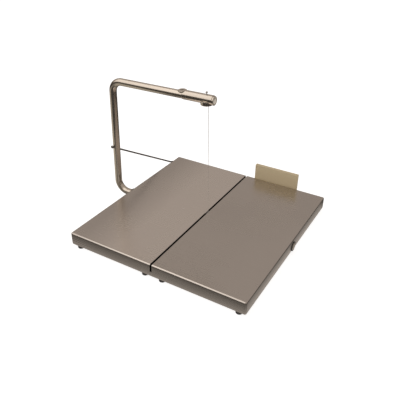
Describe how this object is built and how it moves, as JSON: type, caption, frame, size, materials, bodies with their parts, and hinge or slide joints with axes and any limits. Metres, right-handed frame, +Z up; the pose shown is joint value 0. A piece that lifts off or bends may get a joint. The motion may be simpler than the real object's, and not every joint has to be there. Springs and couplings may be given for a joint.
{
  "type": "cheese wire cutter",
  "caption": "Tabletop cheese cutter: a hinged C-shaped tube bow holds an upright wire that swings down into a slot across a flat steel base with rubber feet.",
  "frame": {"origin": "middle of the outer box, on the surface that the rubber feet stand on", "axes": "+X to the right along the bow's pivot shaft, +Y from front to back along the slot, +Z up"},
  "size_m": [0.4612, 0.428, 0.3136],
  "materials": {
    "sheet": "brushed stainless sheet, the grain running from left to right",
    "tube": "polished stainless tube",
    "plain_steel": "mill finish",
    "fixings": "plain machine screws, nuts and pins",
    "wire": "bright drawn wire",
    "rod": "dark grey drawn rod",
    "bush": "black bearing plastic",
    "rubber": "black rubber",
    "panel": "smoked amber acrylic sheet with polished faces"
  },
  "bodies": {
    "base": {"base_shell": "sheet", "drip_trough_front": "plain_steel", "drip_trough_back": "plain_steel", "tie_bar_front": "plain_steel", "tie_bar_back": "plain_steel", "shaft_bracket_left": "plain_steel", "shaft_bracket_right": "plain_steel", "bearing_bush_left": "bush", "bearing_bush_right": "bush", "bearing_keeper_left": "plain_steel", "bearing_keeper_right": "plain_steel", "foot_1": "rubber", "foot_2": "rubber", "foot_3": "rubber", "foot_4": "rubber", "foot_5": "rubber", "foot_6": "rubber", "foot_7": "rubber", "foot_8": "rubber", "foot_screw_1": "fixings", "foot_screw_2": "fixings", "foot_screw_3": "fixings", "foot_screw_4": "fixings", "foot_screw_5": "fixings", "foot_screw_6": "fixings", "foot_screw_7": "fixings", "foot_screw_8": "fixings", "back_panel": "panel", "panel_screw_1": "fixings", "panel_screw_2": "fixings", "panel_nut_1": "fixings", "panel_nut_2": "fixings", "stop_pad": "rubber", "stop_lug": "plain_steel"},
    "bow": {"bow_tube": "tube", "shaft_collar_left": "plain_steel", "shaft_collar_right": "plain_steel", "collar_grub_screw_left": "fixings", "collar_grub_screw_right": "fixings", "cutting_wire": "wire", "wire_crimp": "fixings", "grip_sleeve": "tube", "wire_outlet": "tube", "guide_pin": "fixings", "arm_end_cap": "tube", "shaft_end_plug": "tube", "stop_rod": "rod", "stop_rod_nut": "rod", "stop_rod_tip": "rubber"},
    "winder": {"tension_wheel": "tube", "winding_spindle": "fixings"},
    "lock": {"lock_screw": "fixings"}
  },
  "joints": [
    {"name": "bow_swing", "type": "hinge", "parent": "base", "child": "bow", "pos_m": [0.0265, 0.00695, 0.018], "axis": [1, 0, 0], "range_deg": [-3, 87.5]},
    {"name": "wheel_spin", "type": "hinge", "parent": "bow", "child": "winder", "pos_m": [-0.03299, -0.00277, 0.29629], "axis": [-0.0122, -0.0349, 0.9993], "range_deg": [-360, 360]},
    {"name": "lock_screw_turn", "type": "hinge", "parent": "bow", "child": "lock", "pos_m": [0.0225, -0.00279, 0.29697], "axis": [-0.0122, -0.0349, 0.9993], "range_deg": [0, 360]}
  ]
}
